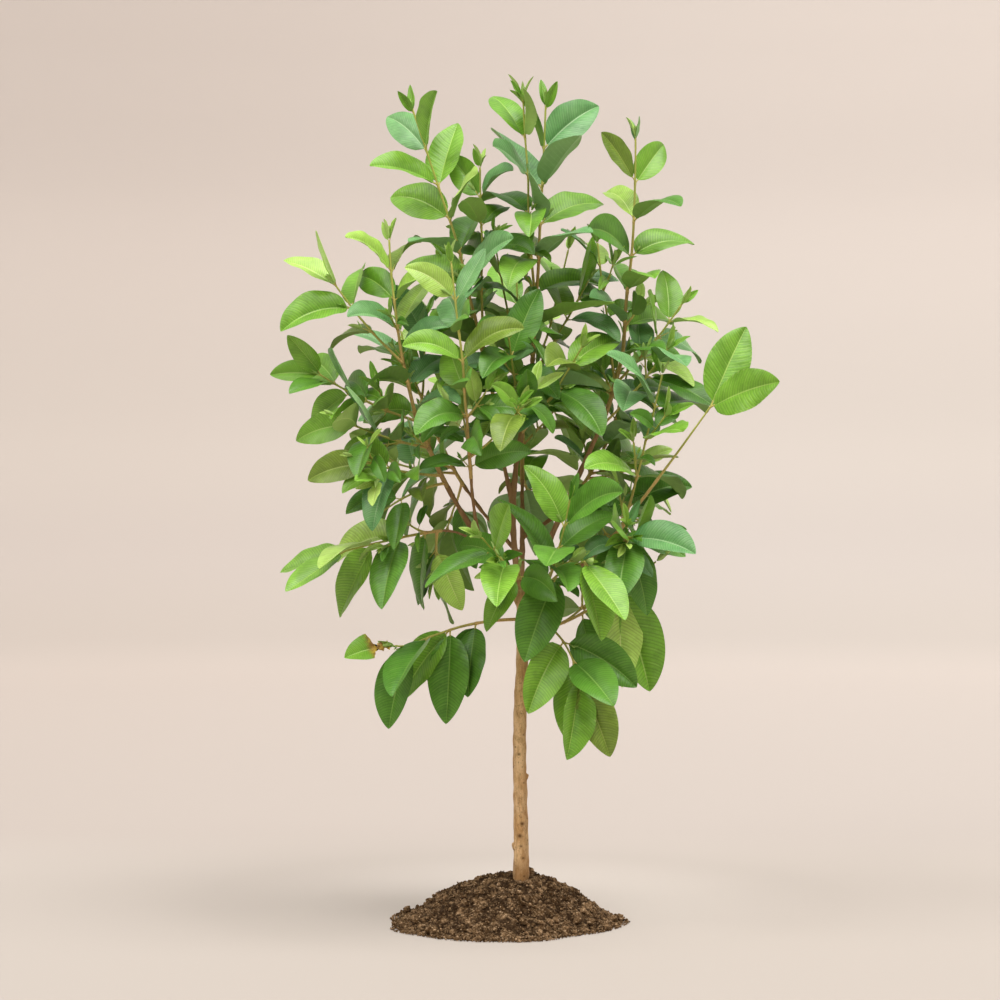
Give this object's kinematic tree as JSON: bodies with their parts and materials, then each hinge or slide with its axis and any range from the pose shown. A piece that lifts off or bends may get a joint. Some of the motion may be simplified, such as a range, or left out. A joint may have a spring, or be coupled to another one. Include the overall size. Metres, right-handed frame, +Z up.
{
  "type": "guava tree",
  "caption": "Young guava tree with a slim straight trunk, forked boughs and broad opposite leaves, planted in a heaped mound of dark soil.",
  "frame": {"origin": "on the flat underside of the soil mound, straight under the trunk", "axes": "+Z up along the trunk, -Y to the front, +X to the right seen from the front"},
  "size_m": [0.6925, 0.526, 1.1831],
  "materials": {
    "soil": "matt, crumbly",
    "bark": "matt",
    "foliage": "satin"
  },
  "bodies": {
    "root": {"soil_mound": "soil", "trunk": "bark", "bough_centre": "bark", "bough_left": "bark", "bough_right": "bark", "bough_low_right": "bark", "bough_back": "bark", "bough_top_left": "bark", "bough_front": "bark", "bough_low_left": "bark", "bough_back_left": "bark", "bough_back_right": "bark", "crown_left": "foliage", "crown_front": "foliage", "crown_top_left": "foliage", "crown_top": "foliage", "crown_right": "foliage", "crown_right_arm": "foliage", "crown_low_front": "foliage", "crown_low_right": "foliage", "crown_skirt_right": "foliage", "crown_skirt_left": "foliage", "crown_low_left": "foliage", "crown_back": "foliage", "crown_back_left": "foliage", "crown_back_right": "foliage"}
  },
  "joints": []
}
